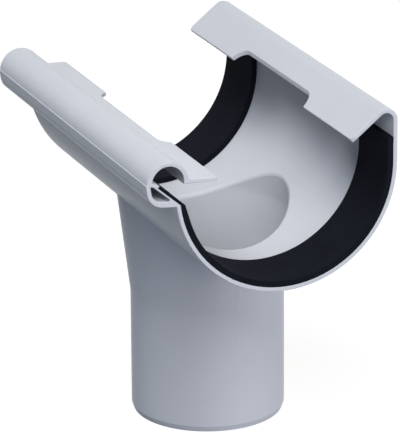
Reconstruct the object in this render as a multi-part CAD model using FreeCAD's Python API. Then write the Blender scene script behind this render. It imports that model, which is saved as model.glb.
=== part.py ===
# Gutter outlet for a half-round gutter with a front bead: one moulded PVC body
# with a funnel and a spigot below, and a rubber seal strip inside each end.
#
# X runs along the gutter, -Y is the front with the bead, +Y the rear by the wall,
# +Z is up. The origin is the centre of the spigot's foot. Lengths in millimetres.
# A "rise" is a height above the trough's axis.

import FreeCAD, Part
import math
import os

# Whole moulding
LENGTH = 203.0  # along the gutter, from end face to end face
WALL = 2.3  # trough, rear wall and hook
EDGE_ROUND = 0.4  # broken edges round the ends and along the flaps

# Half-round trough
TROUGH_OUTER_R = 59.6
TROUGH_AXIS_Z = 158.4  # height of the trough's axis above the foot

# Hook along the rear edge, which grips the rear edge of the gutter
HOOK_BEND_RISE = 21.4
HOOK_OUTER_R = 6.4
HOOK_SLOPE = 37.7  # flap below the horizontal, degrees
HOOK_REACH = 25.8  # from the rear face to the tip of the flap
HOOK_TAB_X = 45.0  # inner edge of each end tab
HOOK_NOTCH_DEPTH = 8.5  # how far the middle of the flap stands back
HOOK_NOTCH_LEAN = 75.0  # sides of the notch off its edge, degrees
HOOK_NOTCH_R = 9.0
HOOK_CORNER_R = 2.5

# Bead shell along the front edge, which takes the round bead of the gutter
SHELL_REACH = 4.1  # from the outside of the trough to the shell's centre
SHELL_RISE = 5.2
SHELL_OUTER_R = 11.2
BORE_BACK = 0.1  # bore's centre behind the shell's
BORE_LIFT = 0.6  # bore's centre above the shell's
BORE_R = 8.4
LOWER_SHELL_LIFT = 0.6  # top of the lower shell above the shell's centre
LOWER_SHELL_STEP = 0.4  # how far it stands proud of the upper shell
LOWER_SHELL_WALL = 2.3
LOWER_SHELL_FLOOR = 3.0  # under the hollow
LOWER_SHELL_LEAN = 8.0  # its front off the vertical, degrees
LOWER_SHELL_SLOPE = 6.0  # its bottom off the horizontal, degrees
LOWER_SHELL_CORNER_R = 9.0
SHELL_JOINT_DROP = 12.4  # from the shell's centre to where the shell leaves the trough

# Shelf between the trough and the bead shell, with a relief hollow under it and a
# recess for each seal strip on top
SHELF_FOOT_LIFT = 0.6  # foot of the recess inside the trough, above the shell's joint
SHELF_SLOPE = 41.0  # degrees
SHELF_WALL = 1.0  # under a recess
SHELF_TIP_SLOPE = 25.0  # degrees, past the seal strips
SHELF_TIP_WALL = 1.7
HOLLOW_CORNER_R = 0.6
HOLLOW_FRONT_R = 5.2

# Flap from the bead shell towards the rear, which holds the gutter down
FLAP_ROOT_LIFT = 1.0  # top of the flap above the shell's centre
FLAP_SLOPE = 3.0  # down towards its tip, degrees
FLAP_WALL = 2.1
FLAP_REACH = 26.1  # from the shell's centre to the tip of the flap
FLAP_ROOT_R = 1.0
FLAP_TAB_X = 44.0
FLAP_NOTCH_DEPTH = 5.0
FLAP_NOTCH_LEAN = 60.0
FLAP_NOTCH_R = 9.0
FLAP_CORNER_R = 1.5

# Funnel and spigot
SPIGOT_OUTER_R = 40.0
SPIGOT_WALL = 2.5
SPIGOT_LENGTH = 65.0
FOOT_BEVEL_HEIGHT = 3.0
FOOT_BEVEL_DEPTH = 1.0
FUNNEL_FLARE = 6.9  # off the vertical, degrees
FUNNEL_BLEND_R = 30.0  # soft change from the spigot to the funnel
FUNNEL_THROAT_R = 42.4  # inside, straight from here up to the trough
FUNNEL_RIM_R = 2.5  # rounded rim of the opening in the trough
FUNNEL_ROOT_R = 1.5  # rounded root under the trough

# Seal strips, glued inside both ends
SEAL_WIDTH = 33.5
SEAL_LEFT_INSET = 3.0  # the left strip sits this far inside its end
SEAL_WALL = 3.0
SEAL_SHELF_WALL = 1.4  # flush with the shelf
SEAL_FOOT_WALL = 2.2  # at the foot of the shelf, on its way to the full wall
SEAL_FULL_RISE = -17.0  # full wall from here down
SEAL_REAR_RISE = 12.8  # rear end of a strip
SEAL_SHELF_REACH = 15.9  # how far a strip runs up the shelf

# What follows from the sizes above
HALF = LENGTH / 2
TROUGH_INNER_R = TROUGH_OUTER_R - WALL
SEAL_INNER_R = TROUGH_INNER_R - SEAL_WALL
AXIS = (0.0, 0.0)
HOOK_TIP_Y = TROUGH_OUTER_R - HOOK_REACH
SHELL_CENTRE = (-TROUGH_OUTER_R - SHELL_REACH, SHELL_RISE)
BORE_CENTRE = (SHELL_CENTRE[0] + BORE_BACK, SHELL_RISE + BORE_LIFT)
SHELL_JOINT_RISE = SHELL_RISE - SHELL_JOINT_DROP
FLAP_TIP_Y = SHELL_CENTRE[0] + FLAP_REACH
LEFT_SEAL_X = -HALF + SEAL_LEFT_INSET
RIGHT_SEAL_X = HALF - SEAL_WIDTH

# Directions in the cross-section are degrees from the rear, so 90 is up
HOOK_DOWN = 180.0 + HOOK_SLOPE  # from the bend to the tip
SHELF_UP = 180.0 - SHELF_SLOPE  # from the trough to the end of the strips
SHELF_TIP_UP = 180.0 - SHELF_TIP_SLOPE  # from there to the bead shell
FLAP_OUT = -FLAP_SLOPE  # from the root to the tip
SHELL_FRONT_DOWN = 270.0 + LOWER_SHELL_LEAN
SHELL_BOTTOM_OUT = 180.0 - LOWER_SHELL_SLOPE  # from the trough to the front


def step(point, degrees, distance):
    """Point (y, rise) at a distance from another one, in the given direction."""
    a = math.radians(degrees)
    return (point[0] + distance * math.cos(a), point[1] + distance * math.sin(a))


def bearing(centre, point):
    return math.degrees(math.atan2(point[1] - centre[1], point[0] - centre[0]))


def crossing(p, p_degrees, q, q_degrees):
    """Where a line through p crosses a line through q."""
    a = math.radians(p_degrees)
    b = math.radians(q_degrees)
    across = (q[0] - p[0]) * math.sin(b) - (q[1] - p[1]) * math.cos(b)
    return step(p, p_degrees, across / math.sin(b - a))


def meeting(p, degrees, centre, radius):
    """Where a line through p leaves a circle, going in the given direction."""
    a = math.radians(degrees)
    y = p[0] - centre[0]
    z = p[1] - centre[1]
    ahead = y * math.cos(a) + z * math.sin(a)
    return step(p, degrees, math.sqrt(ahead**2 - y**2 - z**2 + radius**2) - ahead)


def in_section(point):
    return FreeCAD.Vector(0, point[0], TROUGH_AXIS_Z + point[1])


def in_plan(point):
    return FreeCAD.Vector(point[0], point[1], TROUGH_AXIS_Z)


def in_profile(point):
    return FreeCAD.Vector(point[0], 0, point[1])


def arc(centre, radius, start, end):
    """Edge along a circle of the section, from one direction to another."""
    degrees = (start, (start + end) / 2, end)
    return Part.Arc(*[in_section(step(centre, d, radius)) for d in degrees]).toShape()


def path(corners, place=in_section, closed=False):
    """Edges through corners (u, v) or (u, v, radius), rounded where a radius stands."""
    count = len(corners)
    turns = []
    for i, corner in enumerate(corners):
        here = place(corner)
        if len(corner) < 3:
            turns.append((here, None, here))
            continue
        back = (place(corners[i - 1]) - here).normalize()
        onward = (place(corners[(i + 1) % count]) - here).normalize()
        half = back.getAngle(onward) / 2
        cut = corner[2] / math.tan(half)
        inward = (back + onward).normalize() * (corner[2] / math.sin(half) - corner[2])
        turns.append((here + back * cut, here + inward, here + onward * cut))
    edges = []
    for i, (arrive, middle, leave) in enumerate(turns):
        if middle is not None:
            edges.append(Part.Arc(arrive, middle, leave).toShape())
        if i + 1 < count or closed:
            edges.append(Part.LineSegment(leave, turns[(i + 1) % count][0]).toShape())
    return edges


def face_of(edges):
    return Part.Face(Part.Wire(Part.__sortEdges__(edges)))


def bar(edges, x_start=-HALF, x_end=HALF):
    """Solid along the gutter, with the outline of the section that the edges close."""
    face = face_of(edges)
    face.translate(FreeCAD.Vector(x_start, 0, 0))
    return face.extrude(FreeCAD.Vector(x_end - x_start, 0, 0))


def turned(corners):
    """Solid of revolution about the spigot's axis, from corners (radius, height)."""
    face = face_of(path(corners, in_profile, closed=True))
    return face.revolve(FreeCAD.Vector(0, 0, 0), FreeCAD.Vector(0, 0, 1), 360)


def tabbed_block(back_y, tip_y, depth, tab_x, lean, notch_r, corner_r):
    """Upright block with the plan of a flap that has a tab at each end."""
    side = math.radians(lean)
    mid_y = tip_y + math.copysign(depth, back_y - tip_y)
    notch_r = min(notch_r, 0.98 * depth / math.sin(side) / math.tan(side / 2))
    right = [
        (HALF, back_y),
        (HALF, tip_y, corner_r),
        (tab_x, tip_y),
        (tab_x - depth / math.tan(side), mid_y, notch_r),
    ]
    left = [(-x, *rest) for x, *rest in reversed(right)]
    face = face_of(path(right + left, in_plan, closed=True))
    return face.extrude(FreeCAD.Vector(0, 0, TROUGH_OUTER_R))


def recess_foot():
    """Corner inside the trough where the recess in the shelf starts."""
    foot = (0.0, SHELL_JOINT_RISE + SHELF_FOOT_LIFT)
    return meeting(foot, 180.0, AXIS, TROUGH_INNER_R)


def recess_end():
    """Upper end of the recess, and the shelf's edge above it."""
    end = step(recess_foot(), SHELF_UP, SEAL_SHELF_REACH)
    return end, step(end, SHELF_UP - 90.0, SEAL_SHELF_WALL)


def shelf_foot():
    """Inner corner where the trough's wall turns out over the shelf."""
    return meeting(recess_end()[1], SHELF_UP, AXIS, TROUGH_INNER_R)


def shell_joint():
    """Outer corner where the lower shell leaves the trough."""
    return meeting((0.0, SHELL_JOINT_RISE), 180.0, AXIS, TROUGH_OUTER_R)


def half_round():
    """Trough wall, from the bead shell round to the height of its axis at the rear."""
    foot = shelf_foot()
    joint = shell_joint()
    outer = arc(AXIS, TROUGH_OUTER_R, bearing(AXIS, joint), 0.0)
    inner = arc(AXIS, TROUGH_INNER_R, bearing(AXIS, foot), 0.0)
    ends = path([foot, joint]) + path([(TROUGH_INNER_R, 0.0), (TROUGH_OUTER_R, 0.0)])
    return bar([outer, inner] + ends)


def hook():
    """Rear wall, bend and sloping flap, with a tab at each end."""
    bend = (TROUGH_OUTER_R - HOOK_OUTER_R, HOOK_BEND_RISE)
    flap_top = step(bend, HOOK_DOWN - 90.0, HOOK_OUTER_R)
    flap_under = step(flap_top, HOOK_DOWN + 90.0, WALL)
    outer_corner = crossing((TROUGH_OUTER_R, 0.0), 90.0, flap_top, HOOK_DOWN)
    inner_corner = crossing((TROUGH_INNER_R, 0.0), 90.0, flap_under, HOOK_DOWN)
    tip = crossing(flap_top, HOOK_DOWN, (HOOK_TIP_Y, 0.0), 90.0)
    rail = bar(path([
        (TROUGH_OUTER_R, 0.0),
        (*outer_corner, HOOK_OUTER_R),
        tip,
        step(tip, HOOK_DOWN + 90.0, WALL),
        (*inner_corner, HOOK_OUTER_R - WALL),
        (TROUGH_INNER_R, 0.0),
    ], closed=True))
    depth = HOOK_NOTCH_DEPTH * math.cos(math.radians(HOOK_SLOPE))
    return rail.common(tabbed_block(TROUGH_OUTER_R, HOOK_TIP_Y, depth, HOOK_TAB_X,
                                    HOOK_NOTCH_LEAN, HOOK_NOTCH_R, HOOK_CORNER_R))


def flap_corners():
    """Section of the front flap, before its tip is cut upright: root and tip on top,
    tip and root underneath."""
    above = (SHELL_CENTRE[0], SHELL_RISE + FLAP_ROOT_LIFT)
    root = meeting(above, 0.0, SHELL_CENTRE, SHELL_OUTER_R)
    tip = crossing(root, FLAP_OUT, (FLAP_TIP_Y + FLAP_WALL, 0.0), 90.0)
    tip_under = step(tip, FLAP_OUT - 90.0, FLAP_WALL)
    return root, tip, tip_under, meeting(tip_under, FLAP_OUT, BORE_CENTRE, BORE_R)


def front_flap():
    """Flap that holds the gutter down, with a tab at each end."""
    plain = bar(path(flap_corners(), closed=True))
    return plain.common(tabbed_block(SHELL_CENTRE[0], FLAP_TIP_Y, FLAP_NOTCH_DEPTH, FLAP_TAB_X,
                                     FLAP_NOTCH_LEAN, FLAP_NOTCH_R, FLAP_CORNER_R))


def lower_shell_front():
    """Upper end of the lower shell's front, and the ledge's inner corner above it."""
    above = (SHELL_CENTRE[0], SHELL_RISE + LOWER_SHELL_LIFT)
    ledge = meeting(above, 180.0, SHELL_CENTRE, SHELL_OUTER_R)
    return ledge, step(ledge, 180.0, LOWER_SHELL_STEP)


def bead_shell():
    """Upper shell over the bead, the ledge, the lower shell and the shelf."""
    root, _, _, root_under = flap_corners()
    ledge, front = lower_shell_front()
    foot = shelf_foot()
    joint = shell_joint()
    corner = crossing(front, SHELL_FRONT_DOWN, joint, SHELL_BOTTOM_OUT)
    turn = recess_end()[1]
    shelf_end = meeting(turn, SHELF_TIP_UP, BORE_CENTRE, BORE_R)
    outer = arc(SHELL_CENTRE, SHELL_OUTER_R, bearing(SHELL_CENTRE, root),
                bearing(SHELL_CENTRE, ledge))
    bore = arc(BORE_CENTRE, BORE_R, bearing(BORE_CENTRE, root_under),
               bearing(BORE_CENTRE, shelf_end))
    lower = [ledge, front, (*corner, LOWER_SHELL_CORNER_R), joint]
    below = path(lower + [foot, turn, shelf_end])
    return bar([outer, bore] + below + path([root, root_under]))


def relief_hollow():
    """Hollow under the shelf, which keeps the front edge from being a thick lump."""
    _, front = lower_shell_front()
    front_in = step(front, SHELL_FRONT_DOWN + 90.0, LOWER_SHELL_WALL)
    bottom_in = step(shell_joint(), SHELL_BOTTOM_OUT - 90.0, LOWER_SHELL_FLOOR)
    shelf_in = step(recess_foot(), SHELF_UP + 90.0, SHELF_WALL)
    tip_in = step(recess_end()[1], SHELF_TIP_UP + 90.0, SHELF_TIP_WALL)
    top = crossing(front_in, SHELL_FRONT_DOWN, tip_in, SHELF_TIP_UP)
    front_corner = crossing(front_in, SHELL_FRONT_DOWN, bottom_in, SHELL_BOTTOM_OUT)
    rear_corner = crossing(bottom_in, SHELL_BOTTOM_OUT, shelf_in, SHELF_UP)
    return bar(path([
        (*top, HOLLOW_CORNER_R),
        (*front_corner, HOLLOW_FRONT_R),
        (*rear_corner, HOLLOW_CORNER_R),
        crossing(shelf_in, SHELF_UP, tip_in, SHELF_TIP_UP),
    ], closed=True))


def seal_recess(x_start):
    """Recess in the shelf for the upper end of a seal strip."""
    above = [step(p, SHELF_UP - 90.0, 2 * SEAL_SHELF_WALL) for p in (recess_end()[0], recess_foot())]
    outline = path([recess_foot(), recess_end()[0], *above], closed=True)
    return bar(outline, x_start, x_start + SEAL_WIDTH)


def trough_bore():
    """What the half-round encloses, as a full round."""
    turn = Part.makeCylinder(TROUGH_INNER_R, LENGTH, FreeCAD.Vector(-HALF, 0, TROUGH_AXIS_Z),
                             FreeCAD.Vector(1, 0, 0))
    return turn


def funnel_radius(spigot_r, height):
    return spigot_r + (height - SPIGOT_LENGTH) * math.tan(math.radians(FUNNEL_FLARE))


def funnel_and_spigot():
    """Outside of the spigot and the funnel, up to the inside of the trough."""
    solid = turned([
        (0.0, 0.0),
        (SPIGOT_OUTER_R - FOOT_BEVEL_DEPTH, 0.0),
        (SPIGOT_OUTER_R, FOOT_BEVEL_HEIGHT),
        (SPIGOT_OUTER_R, SPIGOT_LENGTH, FUNNEL_BLEND_R),
        (funnel_radius(SPIGOT_OUTER_R, TROUGH_AXIS_Z), TROUGH_AXIS_Z),
        (0.0, TROUGH_AXIS_Z),
    ])
    return solid.cut(trough_bore())


def passage():
    """Waterway through the funnel and the spigot."""
    inner_r = SPIGOT_OUTER_R - SPIGOT_WALL
    flare = math.tan(math.radians(FUNNEL_FLARE))
    throat_z = SPIGOT_LENGTH + (FUNNEL_THROAT_R - inner_r) / flare
    return turned([
        (0.0, -WALL),
        (inner_r, -WALL),
        (inner_r, SPIGOT_LENGTH, FUNNEL_BLEND_R),
        (FUNNEL_THROAT_R, throat_z, FUNNEL_BLEND_R),
        (FUNNEL_THROAT_R, TROUGH_AXIS_Z),
        (0.0, TROUGH_AXIS_Z),
    ])


def edges_on_trough(shape, radius):
    """Edges round the funnel that lie on the trough's inside or outside."""
    found = []
    for edge in shape.Edges:
        first, last = edge.ParameterRange
        points = [edge.valueAt(first + (last - first) * t) for t in (0.1, 0.5, 0.9)]
        off = [math.hypot(p.y, p.z - TROUGH_AXIS_Z) - radius for p in points]
        low = all(p.z < TROUGH_AXIS_Z - HOOK_BEND_RISE for p in points)
        inside = all(abs(p.x) < HALF - WALL for p in points)
        if low and inside and max(abs(d) for d in off) < 1e-3:
            found.append(edge)
    return found


def middle_of(edge):
    return edge.valueAt((edge.FirstParameter + edge.LastParameter) / 2)


def outline_edges(shape):
    """Edges round both end faces, along the hook's tip and on top of the front flap's."""
    hook_back = HOOK_TIP_Y + HOOK_NOTCH_DEPTH
    flap_back = FLAP_TIP_Y - FLAP_NOTCH_DEPTH
    flap_middle = TROUGH_AXIS_Z + flap_corners()[2][1] + FLAP_WALL / 2
    found = []
    for edge in shape.Edges:
        p = middle_of(edge)
        ends = [v.Point for v in edge.Vertexes]
        upright = math.hypot(ends[0].x - ends[-1].x, ends[0].y - ends[-1].y) < 1e-6
        at_end = min(abs(q.x) for q in [p, *ends]) > HALF - 1e-3
        on_hook = HOOK_TIP_Y - WALL < p.y < hook_back and p.z > TROUGH_AXIS_Z
        on_flap = flap_back - 1e-3 < p.y < FLAP_TIP_Y + WALL and p.z > flap_middle
        if at_end or (on_hook or on_flap) and not upright:
            found.append(edge)
    return found


def flap_root_edge(shape):
    """Edge where the top of the front flap meets the bead shell."""
    root = in_section(flap_corners()[0])
    return [e for e in shape.Edges if (middle_of(e) - root).Length < EDGE_ROUND]


def outlet_body():
    """The whole moulding."""
    body = half_round().fuse([hook(), bead_shell(), front_flap(), funnel_and_spigot()])
    body = body.cut([passage(), relief_hollow(), seal_recess(LEFT_SEAL_X),
                     seal_recess(RIGHT_SEAL_X)]).removeSplitter()
    body = body.makeFillet(FUNNEL_RIM_R, edges_on_trough(body, TROUGH_INNER_R))
    body = body.makeFillet(FUNNEL_ROOT_R, edges_on_trough(body, TROUGH_OUTER_R))
    body = body.makeFillet(EDGE_ROUND, outline_edges(body))
    return body.makeFillet(FLAP_ROOT_R, flap_root_edge(body))


def seal(x_start):
    """Rubber strip along the trough's inside, from the rear wall up the shelf."""
    foot = recess_foot()
    shelf_end, shelf_end_in = recess_end()
    foot_in = meeting(shelf_end_in, SHELF_UP, AXIS, TROUGH_INNER_R - SEAL_FOOT_WALL)
    full = meeting((0.0, SEAL_FULL_RISE), 180.0, AXIS, SEAL_INNER_R)
    outer = arc(AXIS, TROUGH_INNER_R, bearing(AXIS, foot), 0.0)
    inner = arc(AXIS, SEAL_INNER_R, bearing(AXIS, full), 0.0)
    front = path([foot, shelf_end, shelf_end_in, foot_in, full])
    rear = path([
        (TROUGH_INNER_R, 0.0),
        (TROUGH_INNER_R, SEAL_REAR_RISE),
        (SEAL_INNER_R, SEAL_REAR_RISE),
        (SEAL_INNER_R, 0.0),
    ])
    return bar([outer, inner] + front + rear, x_start, x_start + SEAL_WIDTH)


def main():
    os.makedirs("parts", exist_ok=True)
    parts = {
        "outlet_body": outlet_body(),
        "left_seal": seal(LEFT_SEAL_X),
        "right_seal": seal(RIGHT_SEAL_X),
    }
    for name, shape in parts.items():
        shape.exportStep(os.path.join("parts", name + ".step"))
        box = shape.BoundBox
        print(name, len(shape.Solids), shape.isValid(), round(shape.Volume, 1),
              [round(v, 2) for v in (box.XMin, box.XMax, box.YMin, box.YMax, box.ZMin, box.ZMax)])


main()
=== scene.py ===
import bpy
import math
from mathutils import Matrix, Vector

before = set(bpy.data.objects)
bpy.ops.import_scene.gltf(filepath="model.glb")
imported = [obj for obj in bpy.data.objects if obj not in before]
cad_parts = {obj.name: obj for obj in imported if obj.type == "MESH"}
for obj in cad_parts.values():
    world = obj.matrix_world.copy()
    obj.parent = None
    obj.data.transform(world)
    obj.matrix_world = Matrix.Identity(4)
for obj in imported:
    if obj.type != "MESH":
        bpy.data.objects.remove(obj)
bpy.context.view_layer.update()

# The eye: a long lens that stands to the right of the front and a little above the outlet.
# The point under the middle of the spigot, where the frame has its origin, falls on
# foot_column and foot_row of the picture.
picture_width = 400.0  # pixels
picture_height = 433.0
foot_column = 207.9
foot_row = 402.5
focal_pixels = 3918.9
eye_distance = 2.06335  # metres
eye_azimuth = math.radians(66.96)
eye_elevation = math.radians(19.92)
eye_roll = math.radians(-0.376)
sensor_width = 36.0  # millimetres, over the picture's longer side

sideways = Vector((math.cos(eye_azimuth), math.sin(eye_azimuth), 0.0))
towards_eye = Vector((math.sin(eye_azimuth) * math.cos(eye_elevation),
                      -math.cos(eye_azimuth) * math.cos(eye_elevation),
                      math.sin(eye_elevation)))
upwards = towards_eye.cross(sideways)
picture_right = math.cos(eye_roll) * sideways + math.sin(eye_roll) * upwards
picture_up = math.cos(eye_roll) * upwards - math.sin(eye_roll) * sideways
metres_per_pixel = eye_distance / focal_pixels
eye = (towards_eye * eye_distance
       - picture_right * (foot_column - picture_width / 2.0) * metres_per_pixel
       + picture_up * (foot_row - picture_height / 2.0) * metres_per_pixel)

camera_data = bpy.data.cameras.new("eye")
camera_data.sensor_width = sensor_width
camera_data.lens = focal_pixels * sensor_width / picture_height
camera_data.clip_start = 0.1
camera_data.clip_end = 50.0
camera = bpy.data.objects.new("eye", camera_data)
bpy.context.scene.collection.objects.link(camera)
turn = Matrix((picture_right, picture_up, towards_eye)).transposed().to_4x4()
camera.matrix_world = Matrix.Translation(eye) @ turn
bpy.context.scene.camera = camera


# Outlet body: trough, bead shell, hook, funnel and spigot in one piece, moulded from
# light grey PVC. The mould leaves a satin skin with a faint grain.
def new_material(name):
    """Material with an empty shader tree and its output."""
    material = bpy.data.materials.new(name)
    material.use_nodes = True
    material.node_tree.nodes.clear()
    output = material.node_tree.nodes.new("ShaderNodeOutputMaterial")
    return material, material.node_tree, output


def moulded_skin_group():
    """Colour, roughness and grain height of a moulded skin, with a soft mottle. Both
    scales count blotches or grains to the metre."""
    group = bpy.data.node_groups.new("moulded_skin", "ShaderNodeTree")
    sockets = group.interface
    for name, kind, value in (("Pale", "NodeSocketColor", (0.6, 0.6, 0.6, 1.0)),
                              ("Deep", "NodeSocketColor", (0.5, 0.5, 0.5, 1.0)),
                              ("Mottle Scale", "NodeSocketFloat", 30.0),
                              ("Grain Scale", "NodeSocketFloat", 2500.0),
                              ("Roughness", "NodeSocketFloat", 0.4),
                              ("Roughness Spread", "NodeSocketFloat", 0.1)):
        socket = sockets.new_socket(name, in_out="INPUT", socket_type=kind)
        socket.default_value = value
    sockets.new_socket("Color", in_out="OUTPUT", socket_type="NodeSocketColor")
    sockets.new_socket("Roughness", in_out="OUTPUT", socket_type="NodeSocketFloat")
    sockets.new_socket("Grain", in_out="OUTPUT", socket_type="NodeSocketFloat")
    make = group.nodes.new
    link = group.links.new
    given = make("NodeGroupInput")
    result = make("NodeGroupOutput")
    place = make("ShaderNodeTexCoord")

    # The mottle, a soft noise spread over the whole range from 0 to 1.
    mottle = make("ShaderNodeTexNoise")
    mottle.inputs["Detail"].default_value = 4.0
    mottle.inputs["Roughness"].default_value = 0.55
    link(place.outputs["Object"], mottle.inputs["Vector"])
    link(given.outputs["Mottle Scale"], mottle.inputs["Scale"])
    tone = make("ShaderNodeMapRange")
    tone.inputs["From Min"].default_value = 0.3
    tone.inputs["From Max"].default_value = 0.7
    link(mottle.outputs["Fac"], tone.inputs["Value"])

    # It goes from the deep colour to the pale one. A Mix node's sockets for colour are
    # found by number: 6 and 7 go in, and 2 comes out.
    shade = make("ShaderNodeMix")
    shade.data_type = "RGBA"
    link(tone.outputs["Result"], shade.inputs["Factor"])
    link(given.outputs["Deep"], shade.inputs[6])
    link(given.outputs["Pale"], shade.inputs[7])
    link(shade.outputs[2], result.inputs["Color"])

    # It also raises the roughness, by up to the spread.
    wave = make("ShaderNodeMath")
    wave.operation = "MULTIPLY_ADD"
    link(tone.outputs["Result"], wave.inputs[0])
    link(given.outputs["Roughness Spread"], wave.inputs[1])
    link(given.outputs["Roughness"], wave.inputs[2])
    link(wave.outputs["Value"], result.inputs["Roughness"])

    # The grain, much finer than the mottle.
    grain = make("ShaderNodeTexNoise")
    grain.inputs["Detail"].default_value = 2.0
    link(place.outputs["Object"], grain.inputs["Vector"])
    link(given.outputs["Grain Scale"], grain.inputs["Scale"])
    link(grain.outputs["Fac"], result.inputs["Grain"])
    return group


moulded_skin = moulded_skin_group()
grain_strength = 0.35


def skinned_material(name, pale, deep, mottle_scale, grain_scale, grain_depth, roughness,
                     roughness_spread, gloss):
    """Principled material whose colour, roughness and bump come from the moulded skin.
    The grain's depth is in metres."""
    material, tree, output = new_material(name)
    shader = tree.nodes.new("ShaderNodeBsdfPrincipled")
    shader.inputs["Specular IOR Level"].default_value = gloss
    skin = tree.nodes.new("ShaderNodeGroup")
    skin.node_tree = moulded_skin
    skin.inputs["Pale"].default_value = (*pale, 1.0)
    skin.inputs["Deep"].default_value = (*deep, 1.0)
    skin.inputs["Mottle Scale"].default_value = mottle_scale
    skin.inputs["Grain Scale"].default_value = grain_scale
    skin.inputs["Roughness"].default_value = roughness
    skin.inputs["Roughness Spread"].default_value = roughness_spread
    bump = tree.nodes.new("ShaderNodeBump")
    bump.inputs["Strength"].default_value = grain_strength
    bump.inputs["Distance"].default_value = grain_depth
    tree.links.new(skin.outputs["Color"], shader.inputs["Base Color"])
    tree.links.new(skin.outputs["Roughness"], shader.inputs["Roughness"])
    tree.links.new(skin.outputs["Grain"], bump.inputs["Height"])
    tree.links.new(bump.outputs["Normal"], shader.inputs["Normal"])
    tree.links.new(shader.outputs["BSDF"], output.inputs["Surface"])
    return material


def dress(node, material):
    """Gives a node of the frame its material on every slot."""
    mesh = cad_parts[node].data
    if not mesh.materials:
        mesh.materials.append(material)
    for index in range(len(mesh.materials)):
        mesh.materials[index] = material


grey_plastic = skinned_material("grey_plastic", pale=(0.574, 0.590, 0.630),
                                deep=(0.554, 0.570, 0.610), mottle_scale=26.0,
                                grain_scale=2600.0, grain_depth=0.00003,
                                roughness=0.30, roughness_spread=0.02, gloss=0.02)
dress("outlet_body", grey_plastic)

# Seal strips: soft black rubber, extruded, cut to length and glued inside both ends,
# where they press against the gutter.
black_rubber = skinned_material("black_rubber", pale=(0.0080, 0.0095, 0.0140),
                                deep=(0.0050, 0.0060, 0.0095), mottle_scale=60.0,
                                grain_scale=1800.0, grain_depth=0.0001,
                                roughness=0.78, roughness_spread=0.05, gloss=0.04)
dress("left_seal", black_rubber)
dress("right_seal", black_rubber)

# Studio: a white floor without an edge, soft lamps round the outlet and a faint even sky.
# The floor keeps the outlet's shadow and throws little light back up at the outlet.
floor_reach = 6.0  # from the middle to each side
floor_paper = (0.15, 0.165, 0.185, 1.0)
floor_glow = (1.0, 0.99, 0.975, 1.0)
floor_glow_strength = 0.925
floor_bounce = (0.23, 0.26, 0.30, 1.0)
sky_light = (0.35, 0.65, 1.0, 1.0)
sky_light_strength = 0.04
sky_seen = (1.0, 1.0, 1.0, 1.0)
sky_seen_strength = 1.0
lamp_target = Vector((0.0, 0.0, 0.11))


def coloured_shader(tree, kind, colour, strength=None):
    """Output of a new shader node of a kind, with its colour and strength."""
    shader = tree.nodes.new(kind)
    shader.inputs["Color"].default_value = colour
    if strength is not None:
        shader.inputs["Strength"].default_value = strength
    return shader.outputs[0]


def show_and_light(tree, seen, lighting, output):
    """Shows the camera one shader, straight, in a reflection or through glass, and
    lights the outlet with the other."""
    rays = tree.nodes.new("ShaderNodeLightPath")
    mirrored = tree.nodes.new("ShaderNodeMath")
    mirrored.operation = "MAXIMUM"
    tree.links.new(rays.outputs["Is Camera Ray"], mirrored.inputs[0])
    tree.links.new(rays.outputs["Is Glossy Ray"], mirrored.inputs[1])
    through = tree.nodes.new("ShaderNodeMath")
    through.operation = "MAXIMUM"
    tree.links.new(mirrored.outputs["Value"], through.inputs[0])
    tree.links.new(rays.outputs["Is Transmission Ray"], through.inputs[1])
    choice = tree.nodes.new("ShaderNodeMixShader")
    tree.links.new(through.outputs["Value"], choice.inputs["Fac"])
    tree.links.new(lighting, choice.inputs[1])
    tree.links.new(seen, choice.inputs[2])
    tree.links.new(choice.outputs["Shader"], output.inputs["Surface"])


floor_white, floor_tree, floor_output = new_material("floor_white")
lit_floor = floor_tree.nodes.new("ShaderNodeAddShader")
floor_tree.links.new(coloured_shader(floor_tree, "ShaderNodeBsdfDiffuse", floor_paper),
                     lit_floor.inputs[0])
floor_tree.links.new(coloured_shader(floor_tree, "ShaderNodeEmission", floor_glow,
                                     floor_glow_strength), lit_floor.inputs[1])
show_and_light(floor_tree, lit_floor.outputs["Shader"],
               coloured_shader(floor_tree, "ShaderNodeBsdfDiffuse", floor_bounce),
               floor_output)

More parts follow.
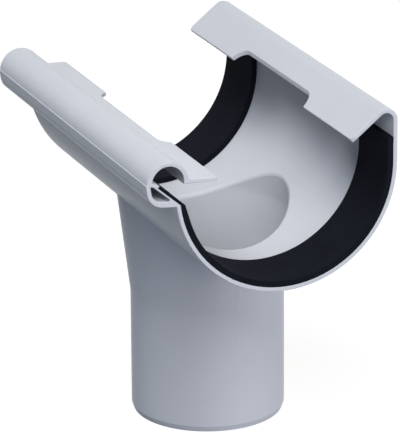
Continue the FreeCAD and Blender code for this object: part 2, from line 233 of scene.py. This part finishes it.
floor_corners = [(-floor_reach, -floor_reach, 0.0), (floor_reach, -floor_reach, 0.0),
                 (floor_reach, floor_reach, 0.0), (-floor_reach, floor_reach, 0.0)]
floor_mesh = bpy.data.meshes.new("floor")
floor_mesh.from_pydata(floor_corners, [], [(0, 1, 2, 3)])
floor_mesh.materials.append(floor_white)
floor = bpy.data.objects.new("floor", floor_mesh)
bpy.context.scene.collection.objects.link(floor)

world = bpy.data.worlds.new("sky")
world.use_nodes = True
sky = world.node_tree
sky.nodes.clear()
show_and_light(sky,
               coloured_shader(sky, "ShaderNodeBackground", sky_seen, sky_seen_strength),
               coloured_shader(sky, "ShaderNodeBackground", sky_light, sky_light_strength),
               sky.nodes.new("ShaderNodeOutputWorld"))
bpy.context.scene.world = world


def soft_lamp(name, bearing, lift, distance, width, height, watts, colour):
    """Rectangular lamp that faces the outlet, from a bearing about the upright off +X
    and a lift above the horizontal, both in degrees. Lengths are in metres."""
    data = bpy.data.lights.new(name, "AREA")
    data.shape = "RECTANGLE"
    data.size = width
    data.size_y = height
    data.energy = watts
    data.color = colour
    lamp = bpy.data.objects.new(name, data)
    bpy.context.scene.collection.objects.link(lamp)
    a = math.radians(bearing)
    b = math.radians(lift)
    away = Vector((math.cos(a) * math.cos(b), math.sin(a) * math.cos(b), math.sin(b)))
    facing = away.to_track_quat("Z", "Y").to_matrix().to_4x4()
    lamp.matrix_world = Matrix.Translation(lamp_target + away * distance) @ facing


# Each lamp's name, bearing, lift, distance, width, height, watts and colour.
soft_lamp("overhead", -70, 76, 2.0, 0.8, 0.6, 10.5, (1.0, 0.93, 0.78))
soft_lamp("front_left", -120, 62, 2.0, 1.0, 0.8, 16.5, (0.85, 0.91, 1.0))
soft_lamp("right", -20, 45, 2.0, 0.9, 1.0, 22.3, (0.98, 0.98, 1.0))
soft_lamp("right_low", -10, 12, 3.0, 1.5, 1.1, 20.5, (0.95, 0.93, 1.0))
soft_lamp("rear_right_low", 55, 12, 3.0, 1.5, 1.1, 45.0, (0.99, 0.98, 1.0))

view = bpy.context.scene.view_settings
view.view_transform = "Standard"
